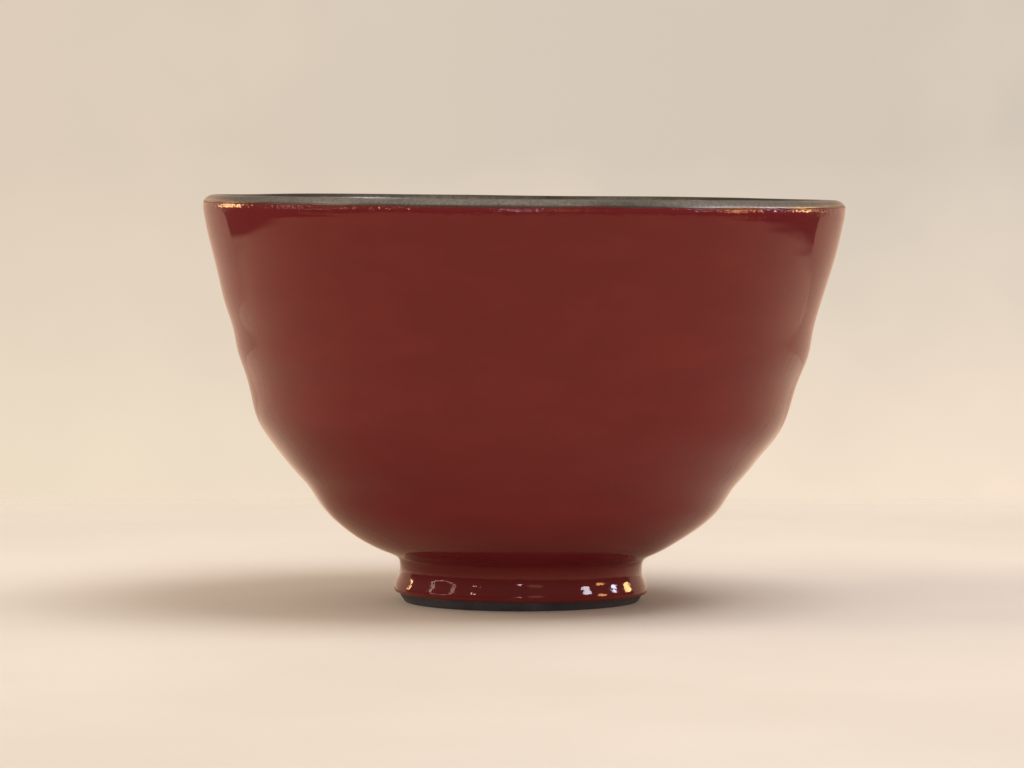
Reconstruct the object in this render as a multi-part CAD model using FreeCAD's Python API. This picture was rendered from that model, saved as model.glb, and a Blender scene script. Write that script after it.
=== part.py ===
"""Hand-thrown rice bowl in dark stoneware, glazed red outside and coated silver inside.

The frame is in millimetres with +Z up. The origin is the middle of the foot, on the table.
One outline gives every piece. It runs from the lower edge of the red glaze up the foot and the
wall, over the lip, and down the inside to the middle of the floor. The coats are thin skins
under that outline, and the clay is what they leave.
"""

import FreeCAD
import Part
import math
import os

# Driving dimensions
RIM_RADIUS = 60.0  # widest visible radius, just under the lip
HEIGHT = 75.5  # from the table to the top of the lip
LEAN_DEGREES = 0.55  # how far the bowl's own axis leans towards +X
COAT = 0.5  # glaze on the clay, the same in and out
SILVER = 0.15  # part of the inner coat that is silver

# Foot ring
STANDING_RADIUS = 21.9  # outer edge of the unglazed face that the bowl stands on
STANDING_WIDTH = 3.2
RECESS_RADIUS = 16.6  # inner wall of the ring, where it meets the floor of the cup
RECESS_HOLLOW = 0.6  # how far the turned middle of the underside is dished upwards
GRINDING = 0.6  # clay left below the table line, ground off flat once the bowl leans

# The outline is a smooth curve drawn by these rings, each a (radius, height) pair. The curve
# stays just inside a proud ring, as clay does between a potter's fingers.
FOOT_RINGS = [
    (23.65, 1.7),  # lower edge of the glaze, over the bare bevel
    (23.85, 2.3),
    (23.45, 3.4),
    (22.85, 4.6),
    (22.65, 5.8),  # waist of the foot
    (22.75, 7.0),  # joint of the foot and the cup
    (22.95, 8.3),
    (26.1, 9.4),  # tight corner under the belly
]
WALL_RINGS = [
    (29.35, 11.1),
    (32.35, 13.1),
    (35.55, 15.5),  # first throwing ridge
    (37.95, 18.3),
    (39.5, 21.3),
    (42.45, 24.3),  # second ridge
    (44.7, 27.3),
    (47.3, 30.4),
    (49.5, 33.7),  # third ridge, the strongest
    (50.5, 37.7),
    (51.5, 41.9),
    (53.6, 46.3),  # fourth ridge
    (54, 50.7),
    (55.6, 55.3),  # fifth ridge
    (56.85, 60.1),
    (58.15, 64.7),
    (59.15, 68.7),
    (59.6, 71.1),
    (RIM_RADIUS - 0.15, HEIGHT - 3.3),
    (RIM_RADIUS - 0.05, HEIGHT - 2.3),  # roll of thick glaze under the silver
]
LIP_RINGS = [
    (RIM_RADIUS - 0.05, HEIGHT - 1.35),  # brushed edge of the silver
    (RIM_RADIUS - 0.35, HEIGHT - 0.7),
    (RIM_RADIUS - 1.0, HEIGHT - 0.25),
    (RIM_RADIUS - 1.8, HEIGHT + 0.05),
    (RIM_RADIUS - 2.6, HEIGHT - 0.05),
    (RIM_RADIUS - 3.1, HEIGHT - 0.7),
    (RIM_RADIUS - 3.25, HEIGHT - 2.0),
]
INSIDE_RINGS = [
    (56.35, 70.9),
    (55.4, 67.0),
    (53.7, 61.5),
    (51.9, 56.0),
    (50.0, 50.0),
    (48.1, 44.0),
    (46.0, 38.5),
    (43.3, 33.5),
    (39.8, 29.0),
    (36.3, 25.1),
    (32.6, 21.7),
    (28.2, 18.7),
    (22.5, 15.8),
    (15.0, 13.7),
    (7.5, 12.8),
    (0.0, 12.8),
]
OUTLINE = FOOT_RINGS + WALL_RINGS + LIP_RINGS + INSIDE_RINGS
JOINT_RING = 5  # the foot ring ends and the cup begins
SILVER_RING = len(FOOT_RINGS) + len(WALL_RINGS)  # the red glaze ends and the silver begins
LAST_RING = len(OUTLINE) - 1


def section_point(radius, height):
    """A point of the bowl's half section, in the XZ plane."""
    return FreeCAD.Vector(radius, 0, height)


def line(start, end):
    """A straight edge between two points."""
    return Part.LineSegment(start, end).toShape()


def face_under(depth):
    """The outline's curve, moved into the clay by a depth square to its own run."""
    poles = []
    for index, (radius, height) in enumerate(OUTLINE):
        before = OUTLINE[max(index - 1, 0)]
        after = OUTLINE[min(index + 1, LAST_RING)]
        run_out, run_up = after[0] - before[0], after[1] - before[1]
        share = depth / math.hypot(run_out, run_up)
        poles.append(section_point(radius - share * run_up, height + share * run_out))
    curve = Part.BSplineCurve()
    curve.buildFromPoles(poles, False, 3)
    return curve


def at_ring(curve, ring):
    """The curve's parameter abreast of one of the outline's rings."""
    if ring == 0:
        return curve.FirstParameter
    if ring == LAST_RING:
        return curve.LastParameter
    spans = len(OUTLINE) - 3
    return curve.FirstParameter + (ring - 1) / spans * (curve.LastParameter - curve.FirstParameter)


def stretch(curve, first_ring, last_ring):
    """The edge that the curve makes between two rings."""
    return curve.toShape(at_ring(curve, first_ring), at_ring(curve, last_ring))


def turned(edges):
    """The solid of revolution that a closed run of edges makes, leaning with the bowl."""
    face = Part.Face(Part.Wire(Part.sortEdges(edges)[0]))
    solid = face.revolve(FreeCAD.Vector(0, 0, 0), FreeCAD.Vector(0, 0, 1), 360)
    solid.rotate(FreeCAD.Vector(0, 0, 0), FreeCAD.Vector(0, 1, 0), LEAN_DEGREES)
    return solid


def skin(inner, outer, first_ring, last_ring):
    """A thin coat between two curves, from one ring to another."""
    ends = [
        line(inner.value(at_ring(inner, ring)), outer.value(at_ring(outer, ring)))
        for ring in (first_ring, last_ring)
    ]
    return turned([stretch(inner, first_ring, last_ring), stretch(outer, first_ring, last_ring)] + ends)


def cup_body(clay):
    """The thrown cup: wall, lip and floor, down to the joint with the foot ring."""
    joint = clay.value(at_ring(clay, JOINT_RING))
    recess = section_point(RECESS_RADIUS, joint.z)
    middle = section_point(0, joint.z + RECESS_HOLLOW)
    halfway = section_point(RECESS_RADIUS / 2, joint.z + 0.75 * RECESS_HOLLOW)
    return turned([
        stretch(clay, JOINT_RING, LAST_RING),
        line(clay.value(clay.LastParameter), middle),
        Part.Arc(middle, halfway, recess).toShape(),
        line(recess, joint),
    ])


def foot_ring(clay):
    """The ring the bowl stands on: glazed waist outside, bare bevel and standing face below."""
    joint = clay.value(at_ring(clay, JOINT_RING))
    bevel_top = clay.value(clay.FirstParameter)
    bevel_slope = (bevel_top.x - STANDING_RADIUS) / bevel_top.z
    outer_low = section_point(STANDING_RADIUS - GRINDING * bevel_slope, -GRINDING)
    inner_low = section_point(STANDING_RADIUS - STANDING_WIDTH, -GRINDING)
    inner_top = section_point(RECESS_RADIUS, joint.z)
    ring = turned([
        stretch(clay, 0, JOINT_RING),
        line(bevel_top, outer_low),
        line(outer_low, inner_low),
        line(inner_low, inner_top),
        line(inner_top, joint),
    ])
    side = 4 * STANDING_RADIUS
    below_table = Part.makeBox(side, side, side, FreeCAD.Vector(-side / 2, -side / 2, -side))
    return ring.cut(below_table)


def main():
    """Model every piece and write one STEP file for each."""
    visible = face_under(0)
    ground = face_under(SILVER)
    clay = face_under(COAT)
    pieces = {
        "cup_body": cup_body(clay),
        "foot_ring": foot_ring(clay),
        "red_glaze": skin(clay, visible, 0, SILVER_RING),
        "inner_glaze": skin(clay, ground, SILVER_RING, LAST_RING),
        "silver_coat": skin(ground, visible, SILVER_RING, LAST_RING),
    }
    os.makedirs("parts", exist_ok=True)
    for name, piece in pieces.items():
        box = piece.BoundBox
        print(f"{name}: {len(piece.Solids)} solid, valid {piece.isValid()}, {piece.Volume / 1000:.2f} cm3,"
              f" X {box.XMin:.2f} to {box.XMax:.2f}, Z {box.ZMin:.2f} to {box.ZMax:.2f}")
        piece.exportStep(f"parts/{name}.step")


main()
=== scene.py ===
"""Dresses the hand-thrown rice bowl: dark stoneware, red glaze outside, fired silver inside.

Lengths are metres in the bowl's own frame, +Z up, with the origin under the middle of the foot.
Sizes of the bowl itself are millimetres, as a potter would measure them, and MM turns them to
metres by the width that the frame gives.
"""
import logging
import math
from dataclasses import dataclass, field
from enum import Enum

import bpy
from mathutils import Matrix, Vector


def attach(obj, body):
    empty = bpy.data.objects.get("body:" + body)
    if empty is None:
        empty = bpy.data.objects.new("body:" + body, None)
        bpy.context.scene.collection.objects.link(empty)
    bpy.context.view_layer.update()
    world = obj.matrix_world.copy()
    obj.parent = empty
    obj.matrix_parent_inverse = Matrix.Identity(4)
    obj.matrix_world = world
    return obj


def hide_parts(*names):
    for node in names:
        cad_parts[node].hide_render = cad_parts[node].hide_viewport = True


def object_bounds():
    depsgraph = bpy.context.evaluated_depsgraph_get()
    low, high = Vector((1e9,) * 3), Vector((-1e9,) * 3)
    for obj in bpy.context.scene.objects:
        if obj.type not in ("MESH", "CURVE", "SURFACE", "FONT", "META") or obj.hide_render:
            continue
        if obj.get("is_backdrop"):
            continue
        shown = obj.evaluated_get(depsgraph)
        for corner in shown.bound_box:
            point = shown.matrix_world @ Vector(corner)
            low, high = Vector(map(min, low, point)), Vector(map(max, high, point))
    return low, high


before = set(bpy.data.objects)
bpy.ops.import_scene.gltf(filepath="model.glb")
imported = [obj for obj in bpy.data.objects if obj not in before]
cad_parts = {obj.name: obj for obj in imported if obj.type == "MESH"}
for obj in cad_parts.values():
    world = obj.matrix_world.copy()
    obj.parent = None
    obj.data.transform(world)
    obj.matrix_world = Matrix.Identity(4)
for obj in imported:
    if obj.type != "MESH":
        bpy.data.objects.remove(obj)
CAD_LOW, CAD_HIGH = (list(corner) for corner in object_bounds())

logging.basicConfig(level=logging.INFO, format="%(message)s")
log = logging.getLogger("rice_bowl")

OUTLINE_WIDTH = 119.87  # mm across the widest part of the outline below
MM = (CAD_HIGH[1] - CAD_LOW[1]) / OUTLINE_WIDTH
BODY = "root"
KNIFE = 1e-7  # metres within which a cut counts a point as on its plane
CENTRE_RADIUS = 0.4  # mm; a surface that closes on the axis ends in a disc of this radius
GLASS_IOR = 1.5  # how strongly glaze and vitrified clay bend light


def linear(hex_colour: str) -> tuple[float, float, float, float]:
    """Turn an sRGB hex colour into the linear colour that shaders use.

    Args:
        hex_colour: Six hex digits with a leading hash.

    Returns:
        Linear red, green, blue, and an alpha of 1.
    """
    channels = [int(hex_colour[start:start + 2], 16) / 255 for start in (1, 3, 5)]
    return (*(c / 12.92 if c <= 0.04045 else ((c + 0.055) / 1.055) ** 2.4 for c in channels), 1.0)


def add_node(tree: bpy.types.NodeTree, kind: str, settings: dict | None = None,
             inputs: dict | None = None) -> bpy.types.Node:
    """Add a node with its settings, values and links.

    Args:
        tree: The material's or the world's node tree.
        kind: The node's type name without its ShaderNode prefix.
        settings: Properties of the node itself, such as its operation.
        inputs: Values, output sockets, or nodes to link from, by input name or number. A colour
            Mix takes its two colours as numbers 6 and 7, and a number Mix its two as 2 and 3.

    Returns:
        The new node. Where it is an input of another, its first output in use is linked.
    """
    node = tree.nodes.new("ShaderNode" + kind)
    for name, value in (settings or {}).items():
        setattr(node, name, value)
    for name, value in (inputs or {}).items():
        if isinstance(value, bpy.types.Node):
            value = next(socket for socket in value.outputs if socket.enabled)
        if isinstance(value, bpy.types.NodeSocket):
            tree.links.new(value, node.inputs[name])
        else:
            node.inputs[name].default_value = value
    return node


# ---------------------------------------------------------------------------------------------
# The shape that every piece shares
# ---------------------------------------------------------------------------------------------


@dataclass(frozen=True)
class Ring:
    """One level of the thrown wall, in mm: radius, height, and how far its middle drifted in X."""

    radius: float
    height: float
    drift: float = 0.0


class Depth(Enum):
    """How deep a surface lies under the visible one, in mm."""

    FACE = 0.0
    UNDER_SILVER = 0.15
    CLAY = 0.5


@dataclass
class Outline:
    """The bowl's half section, from the glaze's lower edge over the lip to the floor's middle.

    Attributes:
        lean_degrees: How far the bowl's axis leans to the right.
        foot: The outside of the foot, from the glaze's lower edge up.
        wall: The outside of the wall, up to where the silver begins.
        lip: Over the lip.
        inside: Down the inside to the floor's middle.
        joint_ring: The ring at whose height the cup meets the foot ring.
        recess_radius: The radius of the hollow inside the foot, in mm.
    """

    lean_degrees: float = 0.55
    foot: list[Ring] = field(default_factory=lambda: [
        Ring(23.65, 1.7), Ring(23.85, 2.3), Ring(23.45, 3.4), Ring(22.85, 4.6), Ring(22.65, 5.8),
        Ring(22.75, 7), Ring(22.95, 8.3), Ring(26.1, 9.4, -0.2),
    ])
    wall: list[Ring] = field(default_factory=lambda: [
        Ring(29.35, 11.1, -0.56), Ring(32.35, 13.1, -0.46), Ring(35.55, 15.5, -0.3),
        Ring(37.95, 18.3, -0.19), Ring(39.5, 21.3, -0.29), Ring(42.45, 24.3, -0.38),
        Ring(44.7, 27.3, -0.5), Ring(47.3, 30.4, -0.3), Ring(49.5, 33.7, -0.34),
        Ring(50.5, 37.7, -0.2), Ring(51.5, 41.9, -0.14), Ring(53.6, 46.3, 0.03),
        Ring(54, 50.7, -0.05), Ring(55.6, 55.3, -0.36), Ring(56.85, 60.1, -0.12),
        Ring(58.15, 64.7, 0.01), Ring(59.15, 68.7, -0.08), Ring(59.6, 71.1, -0.05),
        Ring(59.85, 72.2, -0.05), Ring(59.95, 73.2, -0.05),
    ])
    lip: list[Ring] = field(default_factory=lambda: [
        Ring(59.95, 74.15), Ring(59.65, 74.8), Ring(59, 75.25), Ring(58.2, 75.55), Ring(57.4, 75.45),
        Ring(56.9, 74.8), Ring(56.75, 73.5),
    ])
    inside: list[Ring] = field(default_factory=lambda: [
        Ring(56.35, 70.9), Ring(55.4, 67), Ring(53.7, 61.5), Ring(51.9, 56), Ring(50, 50),
        Ring(48.1, 44), Ring(46, 38.5, -0.1), Ring(43.3, 33.5, -0.2), Ring(39.8, 29, -0.3),
        Ring(36.3, 25.1, -0.3), Ring(32.6, 21.7, -0.3), Ring(28.2, 18.7, -0.3),
        Ring(22.5, 15.8, -0.3), Ring(15, 13.7, -0.2), Ring(7.5, 12.8), Ring(CENTRE_RADIUS, 12.8),
    ])
    joint_ring: int = 5
    recess_radius: float = 16.6

    @property
    def silver_ring(self) -> int:
        """The ring where the red glaze ends and the silver begins."""
        return len(self.foot) + len(self.wall)

    def rings(self, depth: Depth, first: int = 0, last: int | None = None) -> list[Ring]:
        """The outline moved into the clay, square to its own run.

        Args:
            depth: Which surface is wanted.
            first: The first ring of the stretch.
            last: The last ring of the stretch, or None for the floor's middle.

        Returns:
            The rings of that stretch.
        """
        whole = self.foot + self.wall + self.lip + self.inside
        end = len(whole) - 1
        moved = []
        for index, ring in enumerate(whole):
            before, after = whole[max(index - 1, 0)], whole[min(index + 1, end)]
            out, up = after.radius - before.radius, after.height - before.height
            share = depth.value / math.hypot(out, up)
            moved.append(Ring(ring.radius - share * up, ring.height + share * out, ring.drift))
        return moved[first:(end if last is None else last) + 1]


@dataclass
class Wheel:
    """The potter's wheel: throws closed rings of section into leaning, slightly uneven shells.

    Attributes:
        outline: The outline that every piece follows.
        sides: The corners of a ring before smoothing.
        smoothing: How often the mesh is subdivided.
        edge_crease: How sharp an edge stays through smoothing.
        weld_mm: Points nearer to each other than this become one.
        lip_sway_mm: How far the lip rises and dips in all.
        lip_sway_reach_mm: The size of one rise or dip along the lip.
        lip_sway_from_mm: The height where the sway begins.
        lip_sway_run_mm: How far above that it is at its full.
        brush_sway_mm: How far the silver's brushed edge wanders in all.
        brush_sway_reach_mm: The size of one wandering along the edge.
        brush_sway_half_run_mm: How far above and below the edge the wandering reaches.
    """

    outline: Outline
    sides: int = 64
    smoothing: int = 2
    edge_crease: float = 0.85
    weld_mm: float = 0.002
    lip_sway_mm: float = 0.45
    lip_sway_reach_mm: float = 45.0
    lip_sway_from_mm: float = 60.0
    lip_sway_run_mm: float = 14.0
    brush_sway_mm: float = 0.3
    brush_sway_reach_mm: float = 7.0
    brush_sway_half_run_mm: float = 0.6

    def throw(self, name: str, section: list[Ring], creased: tuple[int, ...],
              closed: bool) -> bpy.types.Object:
        """Model one piece ring by ring.

        Args:
            name: The piece's name.
            section: The rings in order, which bound the piece's section.
            creased: Numbers of the rings that are edges rather than part of a smooth run.
            closed: True for a ring-shaped piece, whose last ring meets its first. False for a
                piece whose first and last rings are both small and close on the axis.

        Returns:
            The finished object, at the origin, with its place in its mesh.
        """
        bpy.ops.object.select_all(action="DESELECT")
        first = section[0]
        bpy.ops.mesh.primitive_circle_add(
            vertices=self.sides, radius=first.radius * MM, fill_type="NOTHING",
            location=(first.drift * MM, 0, first.height * MM))
        piece = bpy.context.object
        piece.name = name
        piece.data.name = name
        bpy.ops.object.transform_apply(location=True, rotation=False, scale=False)
        bpy.ops.object.mode_set(mode="EDIT")
        bpy.ops.mesh.select_all(action="SELECT")
        self._crease(0 in creased)
        if not closed:
            bpy.ops.mesh.edge_face_add()
        for number, (before, ring) in enumerate(zip(section, section[1:]), start=1):
            self._raise_ring(before, ring)
            self._crease(number in creased)
        if closed:
            self._raise_ring(section[-1], first)
        else:
            bpy.ops.mesh.edge_face_add()
        bpy.ops.mesh.select_all(action="SELECT")
        bpy.ops.mesh.remove_doubles(threshold=self.weld_mm * MM)
        bpy.ops.mesh.normals_make_consistent(inside=False)
        bpy.ops.object.mode_set(mode="OBJECT")
        self._smooth(piece)
        self._sway(piece)
        piece.rotation_euler = (0, math.radians(self.outline.lean_degrees), 0)
        bpy.ops.object.transform_apply(location=False, rotation=True, scale=False)
        bpy.ops.object.shade_smooth()
        return piece

    def _raise_ring(self, before: Ring, ring: Ring) -> None:
        """Extrude the selected ring to the next one's place and size.

        Args:
            before: The ring that is selected now.
            ring: The ring to make from it.
        """
        step = ((ring.drift - before.drift) * MM, 0, (ring.height - before.height) * MM)
        bpy.ops.mesh.extrude_region_move(TRANSFORM_OT_translate={"value": step})
        scale = ring.radius / before.radius
        middle = (ring.drift * MM, 0, ring.height * MM)
        bpy.ops.transform.resize(value=(scale, scale, 1), center_override=middle)

    def _crease(self, wanted: bool) -> None:
        """Give the selected ring a crease that smoothing keeps as an edge, or none.

        Args:
            wanted: Whether the ring is an edge. A ring takes over its crease from the ring it was
                extruded from, so one that isn't wanted is cleared.
        """
        bpy.ops.transform.edge_crease(value=-1.0)
        if wanted:
            bpy.ops.transform.edge_crease(value=self.edge_crease)

    def _smooth(self, piece: bpy.types.Object) -> None:
        """Smooth the piece by subdividing it.

        Args:
            piece: The piece to smooth.
        """
        subdivision = piece.modifiers.new("Smooth", "SUBSURF")
        subdivision.levels = subdivision.render_levels = self.smoothing
        bpy.ops.object.modifier_apply(modifier=subdivision.name)

    def _sway(self, piece: bpy.types.Object) -> None:
        """Let the lip rise and dip a little, and the brushed edge of the silver wander.

        Args:
            piece: The piece to sway. Every piece sways alike at the same place.
        """
        edge, top = self.outline.lip[0], self.outline.lip[3]
        lift = piece.vertex_groups.new(name="lip")
        wander = piece.vertex_groups.new(name="silver_edge")
        for vertex in piece.data.vertices:
            height = vertex.co.z / MM
            radius = math.hypot(vertex.co.x, vertex.co.y) / MM
            share = (height - self.lip_sway_from_mm) / self.lip_sway_run_mm
            lift.add([vertex.index], min(max(share, 0.0), 1.0), "REPLACE")
            near = 1.0 - min(abs(height - edge.height) / self.brush_sway_half_run_mm, 1.0)
            wander.add([vertex.index], near if radius > top.radius else 0.0, "REPLACE")
        for label, reach, strength, group in (
            ("lip_sway", self.lip_sway_reach_mm, self.lip_sway_mm, lift),
            ("brush_sway", self.brush_sway_reach_mm, self.brush_sway_mm, wander),
        ):
            texture = bpy.data.textures.get(label) or bpy.data.textures.new(label, "CLOUDS")
            texture.noise_scale = reach * MM
            texture.noise_depth = 1
            displace = piece.modifiers.new(label, "DISPLACE")
            displace.texture = texture
            displace.texture_coords = "LOCAL"
            displace.direction = "Z"
            displace.mid_level = 0.5
            displace.strength = strength * MM
            displace.vertex_group = group.name
            bpy.ops.object.modifier_apply(modifier=displace.name)
        piece.vertex_groups.clear()


# ---------------------------------------------------------------------------------------------
# Finishes
# ---------------------------------------------------------------------------------------------


def per_grain(across_mm: float, along_mm: float, up_mm: float) -> tuple[float, float, float]:
    """The scale that gives a pattern grains of a real size.

    Args:
        across_mm: The grain's size along X.
        along_mm: The grain's size along Y.
        up_mm: The grain's height.

    Returns:
        Grains to the metre along X, Y and Z.
    """
    return 1 / (across_mm * MM), 1 / (along_mm * MM), 1 / (up_mm * MM)


class Finish:
    """A material in the making, with the bowl's own upright coordinates at hand."""

    def __init__(self, name: str, lean_degrees: float) -> None:
        """Start a material whose coordinates stand upright on the bowl's axis.

        Args:
            name: The material's name.
            lean_degrees: How far the bowl's axis leans.
        """
        self.material = bpy.data.materials.new(name)
        self.material.use_nodes = True
        self.tree = self.material.node_tree
        self.tree.nodes.clear()
        place = self.add("TexCoord").outputs["Object"]
        self.upright = self.add("Mapping", None, {
            "Vector": place, "Rotation": (0, -math.radians(lean_degrees), 0)})
        parts = self.add("SeparateXYZ", None, {"Vector": self.upright})
        self.height_mm = self.add("Math", {"operation": "DIVIDE"}, {0: parts.outputs["Z"], 1: MM})

    def add(self, kind: str, settings: dict | None = None, inputs: dict | None = None) -> bpy.types.Node:
        """Add a node to this finish's tree."""
        return add_node(self.tree, kind, settings, inputs)

    def close(self, surface: dict, relief_mm: bpy.types.Node) -> bpy.types.Material:
        """Finish the material.

        Args:
            surface: The shader's values and links.
            relief_mm: The height of the surface's own relief, in mm.

        Returns:
            The material.
        """
        normal = self.add("Bump", None, {"Height": relief_mm, "Distance": MM, "Strength": 1.0})
        shader = self.add("BsdfPrincipled", None, {**surface, "Normal": normal})
        self.add("OutputMaterial", None, {"Surface": shader})
        return self.material


@dataclass(frozen=True)
class RedGlazeFinish:
    """Iron-red glaze, brushed on thick and fired to a full gloss.

    It melts level, so it mirrors the table sharply, and only the throwing lines under it and a
    faint ripple of its own bend what it mirrors. It is darker and deeper where it lies thick. It
    gathers in a sagging, pitted roll under the silver, which breaks what it mirrors into sparks.
    """

    thin: str = "#742629"
    thick: str = "#6E2327"
    mirror_tint: str = "#FFE1C6"
    mirror_level: float = 0.3
    roughness: float = 0.045
    blotch_grain_mm: tuple[float, float, float] = (14, 14, 5)
    blotch_spread: tuple[float, float] = (0.3, 0.7)
    ripple_mm: float = 0.02
    ripple_grain_mm: tuple[float, float, float] = (4, 4, 4)
    throwing_line_mm: float = 0.008
    throwing_grain_mm: tuple[float, float, float] = (40, 40, 2.2)
    sag_mm: float = 0.3
    sag_grain_mm: tuple[float, float, float] = (22, 22, 8)
    sag_from_mm: float = 66.0
    bead_mm: float = 0.16
    bead_from_mm: float = 73.2
    bead_to_mm: float = 74.1
    pit_mm: float = 0.1
    pit_grain_mm: tuple[float, float, float] = (0.7, 0.7, 0.7)
    pits_from_mm: float = 72.2
    foot_pit_share: float = 0.2
    foot_pits_below_mm: float = 9.0
    foot_pits_full_mm: float = 6.0

    def make(self, lean_degrees: float) -> bpy.types.Material:
        """Build the material.

        Args:
            lean_degrees: How far the bowl's axis leans.

        Returns:
            The material.
        """
        finish = Finish("red_glaze", lean_degrees)
        add, upright, height = finish.add, finish.upright, finish.height_mm
        blotches = add("TexNoise", None, {"Scale": 1.0, "Detail": 3.0, "Vector": add(
            "Mapping", None, {"Vector": upright, "Scale": per_grain(*self.blotch_grain_mm)})})
        thinness = add("MapRange", None, {
            "Value": blotches, "From Min": self.blotch_spread[0], "From Max": self.blotch_spread[1]})
        colour = add("Mix", {"data_type": "RGBA"}, {
            "Factor": thinness, 6: linear(self.thick), 7: linear(self.thin)})
        ripple, lines, sag, grains = (
            add("TexNoise", None, {"Scale": 1.0, "Detail": 1.0, "Vector": add(
                "Mapping", None, {"Vector": upright, "Scale": per_grain(*grain)})})
            for grain in (
                self.ripple_grain_mm, self.throwing_grain_mm, self.sag_grain_mm, self.pit_grain_mm))
        hanging, bead, rolled, low = (
            add("MapRange", {"interpolation_type": "SMOOTHSTEP"}, {
                "Value": height, "From Min": start, "From Max": end, "To Max": share})
            for start, end, share in (
                (self.sag_from_mm, self.bead_from_mm, 1.0),
                (self.bead_to_mm, self.bead_from_mm, 1.0),
                (self.pits_from_mm, self.bead_from_mm, 1.0),
                (self.foot_pits_below_mm, self.foot_pits_full_mm, self.foot_pit_share),
            ))
        pitted = add("Math", {"operation": "MAXIMUM"}, {0: rolled, 1: low})
        relief = add("Math", {"operation": "MULTIPLY"}, {0: bead, 1: self.bead_mm})
        for pattern, share, deep in (
            (ripple, 1.0, self.ripple_mm), (lines, 1.0, self.throwing_line_mm),
            (sag, hanging, self.sag_mm), (grains, pitted, self.pit_mm),
        ):
            here = add("Math", {"operation": "MULTIPLY"}, {0: pattern, 1: share})
            relief = add("Math", {"operation": "MULTIPLY_ADD"}, {0: here, 1: deep, 2: relief})
        return finish.close({
            "Base Color": colour, "Roughness": self.roughness, "IOR": GLASS_IOR,
            "Specular IOR Level": self.mirror_level, "Specular Tint": linear(self.mirror_tint)}, relief)


@dataclass(frozen=True)
class SilverFinish:
    """Silver brushed on over a fired glaze and fired again, then tarnished in use.

    The thin metal is satin rather than bright, shows the brush's hairlines, and tarnishes grey
    and brown in streaks round the wall. Painted shade darkens it further on the lip's inner roll
    and along its brushed edge.
    """

    bright: str = "#CDC0B0"
    grey: str = "#B0A395"
    tarnish_and_shade_colour: str = "#54453A"
    roughness_low: float = 0.22
    roughness_high: float = 0.42
    hairline_grain_mm: tuple[float, float, float] = (0.5, 0.5, 9)
    hairline_spread: tuple[float, float] = (0.35, 0.62)
    hairline_mm: float = 0.006
    streak_grain_mm: tuple[float, float, float] = (30, 30, 3)
    ripple_grain_mm: tuple[float, float, float] = (3, 3, 2)
    ripple_mm: float = 0.02
    inside_radius_mm: float = 58.1
    inside_blend_mm: float = 0.3
    edge_mm: float = 74.2
    edge_shade_run_mm: float = 0.4
    edge_shade: float = 0.35
    lip_shade_run_mm: float = 3.0
    lip_shade: float = 0.25
    inside_shade: float = 0.07
    tarnish_and_shade_spread: tuple[float, float] = (0.5, 0.8)
    tarnish_and_shade_most: float = 0.85

    def make(self, lean_degrees: float) -> bpy.types.Material:
        """Build the material.

        Args:
            lean_degrees: How far the bowl's axis leans.

        Returns:
            The material.
        """
        finish = Finish("fired_silver", lean_degrees)
        add, upright = finish.add, finish.upright
        hairlines, streaks, ripple = (
            add("TexNoise", None, {"Scale": 1.0, "Detail": detail, "Vector": add(
                "Mapping", None, {"Vector": upright, "Scale": per_grain(*grain)})})
            for grain, detail in (
                (self.hairline_grain_mm, 2.0), (self.streak_grain_mm, 4.0), (self.ripple_grain_mm, 2.0)))
        brushed = add("MapRange", None, {
            "Value": hairlines, "From Min": self.hairline_spread[0], "From Max": self.hairline_spread[1]})
        clean = add("Mix", {"data_type": "RGBA"}, {
            "Factor": brushed, 6: linear(self.grey), 7: linear(self.bright)})
        radius = add("VectorMath", {"operation": "LENGTH"}, {0: add(
            "VectorMath", {"operation": "MULTIPLY"}, {0: upright, 1: (1, 1, 0)})})
        inside = add("MapRange", None, {
            "Value": radius, "From Min": (self.inside_radius_mm + self.inside_blend_mm) * MM,
            "From Max": (self.inside_radius_mm - self.inside_blend_mm) * MM})
        # Painted shade: darker along the silver's lower edge outside, and inside darker towards the lip's
        # inner roll.
        edge, rolled = (
            add("MapRange", None, {
                "Value": finish.height_mm, "From Min": start, "From Max": end,
                "To Min": least, "To Max": most})
            for start, end, least, most in (
                (self.edge_mm + self.edge_shade_run_mm, self.edge_mm, 0.0, self.edge_shade),
                (self.edge_mm - self.lip_shade_run_mm, self.edge_mm, self.inside_shade, self.lip_shade),
            ))
        painted_shade = add("Mix", {"data_type": "FLOAT"}, {"Factor": inside, 2: edge, 3: rolled})
        # Random tarnish streaks, pushed further towards the tarnish colour where the painted shade lies.
        tarnish_and_shade = add("MapRange", None, {
            "From Min": self.tarnish_and_shade_spread[0], "From Max": self.tarnish_and_shade_spread[1], "To Max": self.tarnish_and_shade_most,
            "Value": add("Math", {"operation": "ADD"}, {0: streaks, 1: painted_shade})})
        tarnished_and_shaded = add("Mix", {"data_type": "RGBA"}, {"Factor": tarnish_and_shade, 6: clean, 7: linear(self.tarnish_and_shade_colour)})
        rough = add("MapRange", None, {
            "Value": streaks, "To Min": self.roughness_low, "To Max": self.roughness_high})
        fine = add("Math", {"operation": "MULTIPLY"}, {0: hairlines, 1: self.hairline_mm})
        relief = add("Math", {"operation": "MULTIPLY_ADD"}, {0: ripple, 1: self.ripple_mm, 2: fine})
        return finish.close({"Base Color": tarnished_and_shaded, "Metallic": 1.0, "Roughness": rough}, relief)


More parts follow.
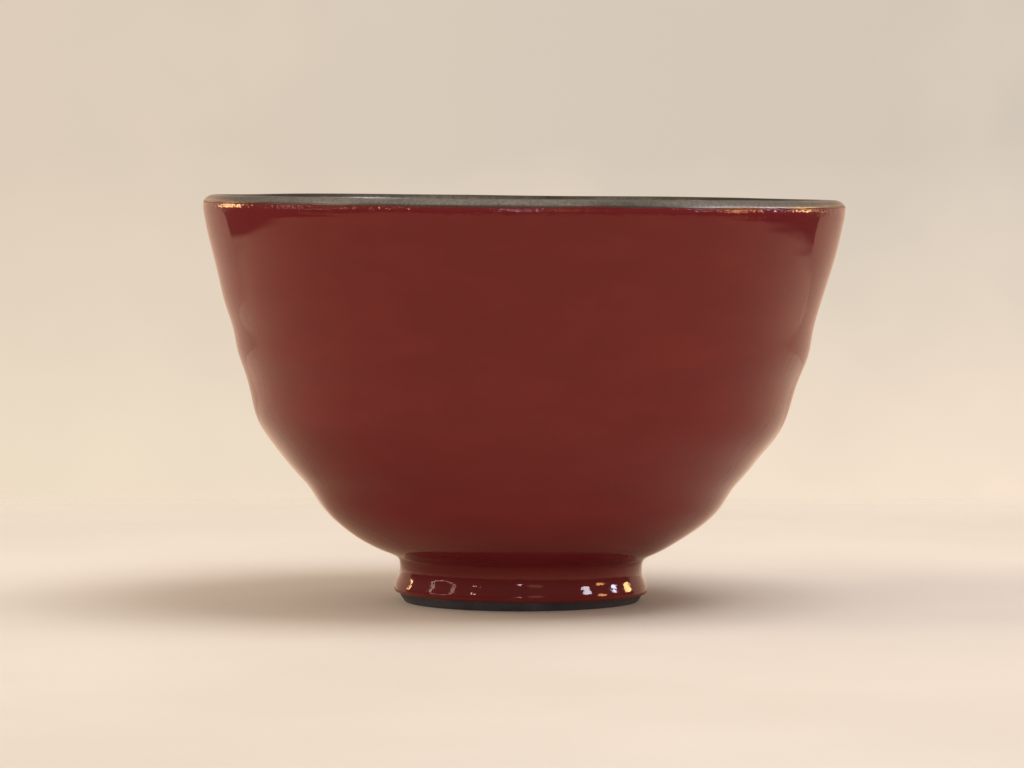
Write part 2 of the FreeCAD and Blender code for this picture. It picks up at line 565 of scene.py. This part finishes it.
@dataclass(frozen=True)
class StonewareFinish:
    """Black iron-bearing stoneware, turned and left bare.

    Bare fired clay is matt and almost black, with a fine grit that the turning tool has dragged
    into faint rings.
    """

    dark: str = "#393740"
    light: str = "#54535E"
    mottle_spread: tuple[float, float] = (0.7, 1.3)
    roughness: float = 0.72
    grit_mm: float = 0.4
    grit_relief_mm: float = 0.05
    cloud_mm: float = 6.0
    turning_pitch_mm: float = 0.9
    turning_relief_mm: float = 0.02

    def make(self, lean_degrees: float) -> bpy.types.Material:
        """Build the material.

        Args:
            lean_degrees: How far the bowl's axis leans.

        Returns:
            The material.
        """
        finish = Finish("dark_stoneware", lean_degrees)
        add, upright = finish.add, finish.upright
        grit, cloud = (
            add("TexNoise", None, {"Vector": upright, "Scale": 1 / (grain * MM), "Detail": detail})
            for grain, detail in ((self.grit_mm, 3.0), (self.cloud_mm, 2.0)))
        mottle = add("Math", {"operation": "ADD"}, {0: grit, 1: cloud})
        paleness = add("MapRange", None, {
            "Value": mottle, "From Min": self.mottle_spread[0], "From Max": self.mottle_spread[1]})
        colour = add("Mix", {"data_type": "RGBA"}, {
            "Factor": paleness, 6: linear(self.dark), 7: linear(self.light)})
        radius = add("VectorMath", {"operation": "LENGTH"}, {0: add(
            "VectorMath", {"operation": "MULTIPLY"}, {0: upright, 1: (1, 1, 0)})})
        turned = add("Math", {"operation": "SINE"}, {0: add(
            "Math", {"operation": "MULTIPLY"}, {0: radius, 1: math.tau / (self.turning_pitch_mm * MM)})})
        rings = add("Math", {"operation": "MULTIPLY"}, {0: turned, 1: self.turning_relief_mm / 2})
        relief = add("Math", {"operation": "MULTIPLY_ADD"}, {0: grit, 1: self.grit_relief_mm, 2: rings})
        return finish.close({"Base Color": colour, "Roughness": self.roughness, "IOR": GLASS_IOR}, relief)


@dataclass(frozen=True)
class GroundGlazeFinish:
    """Clear glaze over dark clay, under the silver: dark, wet-looking and hardly ever seen."""

    dark: str = "#26221E"
    light: str = "#38322B"
    roughness: float = 0.12
    cloud_mm: float = 5.0
    ripple_grain_mm: float = 3.0
    ripple_mm: float = 0.01

    def make(self, lean_degrees: float) -> bpy.types.Material:
        """Build the material.

        Args:
            lean_degrees: How far the bowl's axis leans.

        Returns:
            The material.
        """
        finish = Finish("clear_ground_glaze", lean_degrees)
        cloud, ripple = (
            finish.add("TexNoise", None, {"Vector": finish.upright, "Scale": 1 / (grain * MM)})
            for grain in (self.cloud_mm, self.ripple_grain_mm))
        colour = finish.add("Mix", {"data_type": "RGBA"}, {
            "Factor": cloud, 6: linear(self.dark), 7: linear(self.light)})
        relief = finish.add("Math", {"operation": "MULTIPLY"}, {0: ripple, 1: self.ripple_mm})
        return finish.close({"Base Color": colour, "Roughness": self.roughness, "IOR": GLASS_IOR}, relief)


# ---------------------------------------------------------------------------------------------
# The pieces
# ---------------------------------------------------------------------------------------------


@dataclass
class Piece:
    """A piece of the bowl that stands for one node of the CAD model.

    Attributes:
        wheel: The wheel it is thrown on.
        node: The CAD node.
        slot: The name of the node's material slot; not used.
    """

    wheel: Wheel
    node: str
    slot: str

    def dress(self, piece: bpy.types.Object, material: bpy.types.Material) -> None:
        """Give the piece its finish and let it stand for its node.

        Args:
            piece: The finished mesh object.
            material: Its finish.
        """
        piece.name = self.node + "_piece"
        piece.data.materials.clear()
        piece.data.materials.append(material)
        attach(piece, BODY)
        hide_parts(self.node)
        log.info("%s: %d faces of %s", piece.name, len(piece.data.polygons), material.name)


@dataclass
class Coat(Piece):
    """A skin of glaze or metal between two surfaces of the outline."""

    under: Depth
    over: Depth
    outside: bool

    def build(self) -> bpy.types.Object:
        """Throw the coat as a thin closed shell.

        Returns:
            The coat's object.
        """
        outline = self.wheel.outline
        first, last = (0, outline.silver_ring) if self.outside else (outline.silver_ring, None)
        outer = outline.rings(self.over, first, last)
        inner = outline.rings(self.under, first, last)
        if self.outside:
            section = outer + inner[::-1]
            creased = (0, len(outer) - 1, len(outer), len(section) - 1)
            return self.wheel.throw(self.node, section, creased, closed=True)
        section = outer[::-1] + inner
        creased = (len(outer) - 1, len(outer))
        return self.wheel.throw(self.node, section, creased, closed=False)


@dataclass
class CupBody(Piece):
    """The thrown cup of dark stoneware under the coats.

    Attributes:
        recess_hollow_mm: How far the underside's middle is dished upwards.
        recess_dish: Points of the dish, in shares of its radius and of its hollow.
    """

    recess_hollow_mm: float = 0.6
    recess_dish: tuple[tuple[float, float], ...] = ((0.36, 0.9), (0.82, 0.3))

    def build(self) -> bpy.types.Object:
        """Throw the cup from the middle of its underside, up the wall and back to the floor.

        Returns:
            The cup's object.
        """
        outline = self.wheel.outline
        wall = outline.rings(Depth.CLAY, outline.joint_ring)
        low, hollow, recess = wall[0].height, self.recess_hollow_mm, outline.recess_radius
        underside = [
            Ring(CENTRE_RADIUS, low + hollow),
            *(Ring(out * recess, low + up * hollow) for out, up in self.recess_dish),
            Ring(recess, low),
        ]
        creased = (len(underside) - 1, len(underside))
        return self.wheel.throw(self.node, underside + wall, creased, closed=False)


@dataclass
class FootRing(Piece):
    """The stoneware ring the bowl stands on, ground flat on the table side.

    Attributes:
        standing_radius_mm: The outer radius of the standing face.
        standing_width_mm: Its width.
        flare_mm: How far the recess has opened at the flare's height.
        flare_share: The flare's height, as a share of the recess's.
        grinding_mm: How much is thrown below the table's level and ground away.
        edge_degrees: The least angle between faces that shows as an edge.
    """

    standing_radius_mm: float = 21.9
    standing_width_mm: float = 3.2
    flare_mm: float = 0.4
    flare_share: float = 0.6
    grinding_mm: float = 0.6
    edge_degrees: float = 40.0

    def build(self) -> bpy.types.Object:
        """Throw the ring, then grind its standing face level.

        Returns:
            The ring's object.
        """
        outline = self.wheel.outline
        waist = outline.rings(Depth.CLAY, 0, outline.joint_ring)
        top, low, deep = waist[0], waist[-1].height, self.grinding_mm
        slope = (top.radius - self.standing_radius_mm) / top.height
        section = waist + [
            Ring(outline.recess_radius, low),
            Ring(outline.recess_radius + self.flare_mm, self.flare_share * low),
            Ring(self.standing_radius_mm - self.standing_width_mm, -deep),
            Ring(self.standing_radius_mm - slope * deep, -deep),
        ]
        creased = (0, len(waist) - 1, len(waist), len(section) - 2, len(section) - 1)
        ring = self.wheel.throw(self.node, section, creased, closed=True)
        bpy.ops.object.mode_set(mode="EDIT")
        bpy.ops.mesh.select_all(action="SELECT")
        bpy.ops.mesh.bisect(plane_co=(0, 0, 0), plane_no=(0, 0, -1), use_fill=True, clear_outer=True,
                            threshold=KNIFE)
        bpy.ops.object.mode_set(mode="OBJECT")
        bpy.ops.object.shade_smooth_by_angle(angle=math.radians(self.edge_degrees))
        return ring


# ---------------------------------------------------------------------------------------------
# The studio
# ---------------------------------------------------------------------------------------------


def way_to(bearing_degrees: float, rise_degrees: float, distance: float) -> Vector:
    """The way from the bowl to something that stands round it.

    Args:
        bearing_degrees: Its direction, 0 behind the bowl and 90 to its right.
        rise_degrees: Its height above the horizon.
        distance: Its distance.

    Returns:
        The way there.
    """
    bearing, rise = math.radians(bearing_degrees), math.radians(rise_degrees)
    flat = math.cos(rise)
    return distance * Vector((flat * math.sin(bearing), flat * math.cos(bearing), math.sin(rise)))


@dataclass(frozen=True)
class Lamp:
    """A disc of light that stands round the bowl and faces it.

    Attributes:
        name: What it is.
        bearing_degrees: Its direction from the bowl, 0 behind it and 90 to its right.
        rise_degrees: Its height above the horizon, seen from the bowl.
        size: The disc's diameter.
        watts: Its power.
        colour: Its colour.
        sparkle: True for a lamp that only gloss shows, False for a soft light that gloss doesn't.
        distance: From the bowl to the disc.
    """

    name: str
    bearing_degrees: float
    rise_degrees: float
    size: float
    watts: float
    colour: str
    sparkle: bool = True
    distance: float = 1.2

    def hang(self, target: Vector) -> None:
        """Hang the lamp and aim it.

        Args:
            target: The point that it faces.
        """
        offset = way_to(self.bearing_degrees, self.rise_degrees, self.distance)
        bpy.ops.object.select_all(action="DESELECT")
        bpy.ops.object.light_add(type="AREA", location=target + offset,
                                 rotation=(-offset).to_track_quat("-Z", "Y").to_euler())
        lamp = bpy.context.object
        lamp.name = self.name
        lamp.data.shape = "DISK"
        lamp.data.size = self.size
        lamp.data.energy = self.watts
        lamp.data.color = linear(self.colour)[:3]
        lamp.visible_glossy = self.sparkle
        lamp.visible_diffuse = not self.sparkle
        log.info("light %s", lamp.name)


@dataclass(frozen=True)
class GlowingThing:
    """Something in the room that only gloss shows, by its own glow."""

    colour: str
    strength: float

    def light(self, thing: bpy.types.Object, name: str) -> None:
        """Make an object glow in the gloss alone.

        Args:
            thing: The card or lamp.
            name: What it is.
        """
        thing.name = name
        material = bpy.data.materials.new(name)
        material.use_nodes = True
        tree = material.node_tree
        tree.nodes.clear()
        glow = add_node(tree, "Emission", None, {"Color": linear(self.colour), "Strength": self.strength})
        add_node(tree, "OutputMaterial", None, {"Surface": glow})
        thing.data.materials.append(material)
        thing.visible_camera = thing.visible_diffuse = thing.visible_shadow = False
        thing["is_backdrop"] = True


@dataclass(frozen=True)
class BackdropCard(GlowingThing):
    """A pale card that stands on the table behind the bowl, bent round it like a screen."""

    colour: str = "#FAD0B2"
    strength: float = 0.87
    sides: int = 96
    radius: float = 0.294
    left_degrees: float = 55.5
    right_degrees: float = 58.0
    top: float = 0.16
    foot: float = -0.06

    def build(self) -> None:
        """Roll a cylinder and cut it to the card's two ends."""
        bpy.ops.object.select_all(action="DESELECT")
        bpy.ops.mesh.primitive_cylinder_add(
            vertices=self.sides, radius=self.radius, depth=self.top - self.foot, end_fill_type="NOTHING",
            location=(0, 0, (self.top + self.foot) / 2))
        card = bpy.context.object
        bpy.ops.object.transform_apply(location=True, rotation=False, scale=False)
        bpy.ops.object.mode_set(mode="EDIT")
        for side, degrees in ((1, self.right_degrees), (-1, self.left_degrees)):
            angle = math.radians(degrees)
            bpy.ops.mesh.select_all(action="SELECT")
            bpy.ops.mesh.bisect(plane_co=(0, 0, 0), clear_outer=True, threshold=KNIFE,
                                plane_no=(side * math.cos(angle), -math.sin(angle), 0))
        bpy.ops.object.mode_set(mode="OBJECT")
        self.light(card, "backdrop_card")


@dataclass(frozen=True)
class RingLamp(GlowingThing):
    """A ring-shaped lamp to the front left, which the foot's gloss shows as a broken ring."""

    colour: str = "#FFF4EA"
    strength: float = 6.0
    bearing_degrees: float = -97.0
    rise_degrees: float = 26.0
    distance: float = 1.2
    radius: float = 0.26
    tube_radius: float = 0.03

    def build(self) -> None:
        """Bend the tube and aim it at the bowl."""
        offset = way_to(self.bearing_degrees, self.rise_degrees, self.distance)
        bpy.ops.object.select_all(action="DESELECT")
        bpy.ops.mesh.primitive_torus_add(
            major_radius=self.radius, minor_radius=self.tube_radius, location=offset,
            rotation=(-offset).to_track_quat("-Z", "Y").to_euler())
        self.light(bpy.context.object, "ring_lamp")


@dataclass(frozen=True)
class PaperSheet:
    """A pale sheet on the table, whose edges fade out so that no hard line shows behind the bowl.

    Gloss mirrors it a little warmer than it is, as the room's lamps would make it.
    """

    light: str = "#E1DDD6"
    shade: str = "#DAD6CE"
    mirrored: str = "#EBD6C0"
    roughness: float = 0.85
    clouds_per_metre: float = 9.0
    cloud_spread: tuple[float, float] = (0.35, 0.65)
    aside: float = -0.0075
    half_width: float = 0.2975
    front: float = -0.335
    back: float = 0.30
    corner: float = 0.45
    view_half_width: float = 0.13
    side_fade: float = 0.035
    front_fade: float = 0.06
    back_fade: float = 0.11
    gap: float = 0.00003

    def build(self) -> None:
        """Lay the sheet and fade its edges."""
        bpy.ops.object.select_all(action="DESELECT")
        middle = (self.corner + self.front) / 2
        bpy.ops.mesh.primitive_plane_add(size=1.0, location=(self.aside, middle, -self.gap))
        sheet = bpy.context.object
        sheet.name = "table_sheet"
        sheet.scale = (2 * self.half_width, self.corner - self.front, 1)
        bpy.ops.object.transform_apply(location=True, rotation=False, scale=True)
        material = bpy.data.materials.new("pale_paper")
        material.use_nodes = True
        tree = material.node_tree
        tree.nodes.clear()
        place = add_node(tree, "TexCoord").outputs["Object"]
        cloud = add_node(tree, "TexNoise", None, {
            "Vector": place, "Scale": self.clouds_per_metre, "Detail": 3.0})
        paleness = add_node(tree, "MapRange", None, {
            "Value": cloud, "From Min": self.cloud_spread[0], "From Max": self.cloud_spread[1]})
        colour = add_node(tree, "Mix", {"data_type": "RGBA"}, {
            "Factor": paleness, 6: linear(self.shade), 7: linear(self.light)})
        gloss = add_node(tree, "LightPath").outputs["Is Glossy Ray"]
        warmed = add_node(tree, "Mix", {"data_type": "RGBA"}, {
            "Factor": gloss, 6: colour, 7: linear(self.mirrored)})
        shader = add_node(tree, "BsdfPrincipled", None, {
            "Base Color": warmed, "Roughness": self.roughness, "Specular IOR Level": 0.2})
        clear = add_node(tree, "BsdfTransparent")
        fade = self._fade(tree, add_node(tree, "SeparateXYZ", None, {"Vector": place}))
        mix = add_node(tree, "MixShader", None, {0: fade, 1: shader, 2: clear})
        add_node(tree, "OutputMaterial", None, {"Surface": mix})
        sheet.data.materials.append(material)
        sheet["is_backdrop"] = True

    def _fade(self, tree: bpy.types.NodeTree, place: bpy.types.Node) -> bpy.types.Node:
        """Work out how far the sheet has faded: late behind the bowl at the sides, out of view.

        Args:
            tree: The sheet's node tree.
            place: The node that gives X and Y on the sheet.

        Returns:
            The fade, from 0 on the sheet to 1 beyond its edges.
        """
        centred = add_node(tree, "Math", {"operation": "SUBTRACT"}, {0: place.outputs["X"], 1: self.aside})
        aside = add_node(tree, "Math", {"operation": "ABSOLUTE"}, {0: centred})
        beside = add_node(tree, "Math", {"operation": "SUBTRACT"}, {0: aside, 1: self.view_half_width})
        outside = add_node(tree, "Math", {"operation": "MAXIMUM"}, {0: beside, 1: 0.0})
        back = add_node(tree, "Math", {"operation": "SUBTRACT"}, {0: place.outputs["Y"], 1: outside})
        side, near, far = (
            add_node(tree, "MapRange", {"interpolation_type": "SMOOTHSTEP"}, {
                "Value": run, "From Min": start, "From Max": end})
            for run, start, end in (
                (aside, self.half_width - self.side_fade, self.half_width),
                (place.outputs["Y"], self.front + self.front_fade, self.front),
                (back, self.back - self.back_fade, self.back),
            ))
        both = add_node(tree, "Math", {"operation": "MAXIMUM"}, {0: side, 1: near})
        return add_node(tree, "Math", {"operation": "MAXIMUM"}, {0: both, 1: far})


@dataclass(frozen=True)
class Surround:
    """The room: a pale backdrop for the eye, soft light from all round, and a dim room for the gloss.

    Attributes:
        backdrop_low: The backdrop's colours down by the table, left and right.
        backdrop_high: Its colours at the top, left and right.
        low: The upward slope at which the backdrop is all low colour.
        high: The upward slope at which it is all high colour.
        half_view: The sideways slope of the view's edges.
        mottle_scale: How fine the mottle is.
        mottle_share: How much of the step from low to high colour the mottle makes.
        level_low: The level that the height alone gives at the low slope.
        level_high: The level that it gives at the high slope.
        room: Slopes and colours of the dim room, from the floor up.
        soft_light: The soft light's colour.
        soft_strength: Its strength.
    """

    backdrop_low: tuple[str, str] = ("#EFDEC6", "#F8E4CF")
    backdrop_high: tuple[str, str] = ("#DDCDBA", "#D2C6B8")
    low: float = -0.075
    high: float = 0.005
    half_view: float = 0.11
    mottle_scale: float = 16.0
    mottle_share: float = 0.9
    level_low: float = -0.45
    level_high: float = 0.55
    room: tuple[tuple[float, str], ...] = ((0.05, "#65564C"), (0.3, "#7C7672"), (0.8, "#A09E9A"))
    soft_light: str = "#EADACA"
    soft_strength: float = 0.76

    def build(self) -> None:
        """Set up the world."""
        world = bpy.data.worlds.new("studio")
        bpy.context.scene.world = world
        world.use_nodes = True
        tree = world.node_tree
        tree.nodes.clear()
        path = add_node(tree, "LightPath").outputs
        direction = add_node(tree, "TexCoord").outputs["Generated"]
        slope = add_node(tree, "SeparateXYZ", None, {"Vector": direction}).outputs
        seen = add_node(tree, "Background", None, {"Color": self._backdrop(tree, direction, slope)})
        (_, colour), *higher = self.room
        dim = linear(colour)
        for (start, _), (end, colour) in zip(self.room, higher):
            rise = add_node(tree, "MapRange", None, {"Value": slope["Z"], "From Min": start, "From Max": end})
            dim = add_node(tree, "Mix", {"data_type": "RGBA"}, {"Factor": rise, 6: dim, 7: linear(colour)})
        mirrored = add_node(tree, "Background", None, {"Color": dim})
        soft = add_node(tree, "Background", None, {
            "Color": linear(self.soft_light), "Strength": self.soft_strength})
        unseen = add_node(tree, "MixShader", None, {0: path["Is Glossy Ray"], 1: soft, 2: mirrored})
        both = add_node(tree, "MixShader", None, {0: path["Is Camera Ray"], 1: unseen, 2: seen})
        add_node(tree, "OutputWorld", None, {"Surface": both})

    def _backdrop(self, tree: bpy.types.NodeTree, direction: bpy.types.NodeSocket,
                  slope: bpy.types.bpy_prop_collection) -> bpy.types.Node:
        """Shade the backdrop softly from the table up, with a faint mottle.

        Args:
            tree: The world's node tree.
            direction: Which way the eye looks.
            slope: The X, Y and Z parts of that direction.

        Returns:
            The backdrop's colour.
        """
        mottle = add_node(tree, "TexNoise", None, {
            "Vector": direction, "Scale": self.mottle_scale, "Detail": 3.0, "Roughness": 0.6})
        height = add_node(tree, "MapRange", None, {
            "Value": slope["Z"], "From Min": self.low, "From Max": self.high,
            "To Min": self.level_low, "To Max": self.level_high})
        level = add_node(tree, "Math", {"operation": "MULTIPLY_ADD", "use_clamp": True}, {
            0: mottle, 1: self.mottle_share, 2: height})
        across = add_node(tree, "MapRange", None, {
            "Value": slope["X"], "From Min": -self.half_view, "From Max": self.half_view})
        low, high = (
            add_node(tree, "Mix", {"data_type": "RGBA"}, {
                "Factor": across, 6: linear(left), 7: linear(right)})
            for left, right in (self.backdrop_low, self.backdrop_high))
        return add_node(tree, "Mix", {"data_type": "RGBA"}, {"Factor": level, 6: low, 7: high})


@dataclass(frozen=True)
class Studio:
    """A pale sheet on a table, a pale card behind it, a dim room around, and the lights."""

    warm: str = "#FFC98A"
    cool: str = "#C9D6FF"
    white: str = "#FFF4E6"

    def build(self) -> None:
        """Lay the sheet, stand the card up, and light them."""
        PaperSheet().build()
        BackdropCard().build()
        Surround().build()
        RingLamp().build()
        target = Vector((0.0, 0.0, (CAD_LOW[2] + CAD_HIGH[2]) / 2))
        for lamp in self._soft_lights() + self._small_lamps():
            lamp.hang(target)

    def _soft_lights(self) -> list[Lamp]:
        """The large soft lights, which shade the table and the bowl."""
        return [
            Lamp("overhead_softbox", 105, 72, 0.6, 4.8, "#F6F2F4", sparkle=False, distance=0.9),
            Lamp("left_softbox", -90, 38, 0.65, 3.0, "#FFE6C4", sparkle=False, distance=1.0),
            Lamp("right_softbox", 95, 25, 0.5, 0.7, "#FFC890", sparkle=False, distance=1.0),
        ]

    def _small_lamps(self) -> list[Lamp]:
        """The small lamps, which sparkle in the gloss of the foot and the lip."""
        return [
            Lamp("window_front", 166, 26, 0.3, 0.35, "#FFE2B8"),
            Lamp("gold_lamp_left", -50, 12, 0.22, 2.4, self.warm),
            Lamp("white_lamp_left", -133, 31, 0.08, 0.4, self.white),
            Lamp("front_lamp", -178, 22, 0.07, 0.9, self.cool),
            Lamp("cool_lamp_front", 111, 29, 0.17, 2.8, self.cool),
            Lamp("warm_lamp_right", 98, 17, 0.2, 2.0, self.warm),
            Lamp("cool_lamp_right", 79, 21, 0.13, 1.6, self.cool),
            Lamp("gold_lamp_right", 60, 15, 0.2, 2.2, self.warm),
        ]


@dataclass(frozen=True)
class Camera:
    """A long lens almost level with the lip, straight in front of the bowl."""

    distance: float = 0.865
    above_lip: float = 0.00545
    side: float = -0.0016
    pitch_degrees: float = 2.71
    lens_mm: float = 162.7
    film_mm: float = 36.0
    nearest: float = 0.01

    def place(self) -> None:
        """Set the camera up and look through it."""
        bpy.ops.object.camera_add(
            location=(self.side, -self.distance, CAD_HIGH[2] + self.above_lip),
            rotation=(math.radians(90 - self.pitch_degrees), 0, 0))
        camera = bpy.context.object
        camera.name = "camera"
        camera.data.lens = self.lens_mm
        camera.data.sensor_width = self.film_mm
        camera.data.clip_start = self.nearest
        bpy.context.scene.camera = camera
        bpy.context.scene.view_settings.view_transform = "Standard"  # colours as the hex values give them


def main() -> None:
    """Build the bowl, dress it, and set up the studio."""
    wheel = Wheel(Outline())
    lean = wheel.outline.lean_degrees
    stoneware = StonewareFinish().make(lean)
    for piece, material in (
        (CupBody(wheel, "cup_body", "dark_stoneware"), stoneware),
        (FootRing(wheel, "foot_ring", "dark_stoneware"), stoneware),
        (Coat(wheel, "red_glaze", "red_glaze", Depth.CLAY, Depth.FACE, outside=True),
         RedGlazeFinish().make(lean)),
        (Coat(wheel, "inner_glaze", "clear_ground_glaze", Depth.CLAY, Depth.UNDER_SILVER, outside=False),
         GroundGlazeFinish().make(lean)),
        (Coat(wheel, "silver_coat", "fired_silver", Depth.UNDER_SILVER, Depth.FACE, outside=False),
         SilverFinish().make(lean)),
    ):
        piece.dress(piece.build(), material)
    Studio().build()
    Camera().place()


if __name__ == "__main__":
    main()
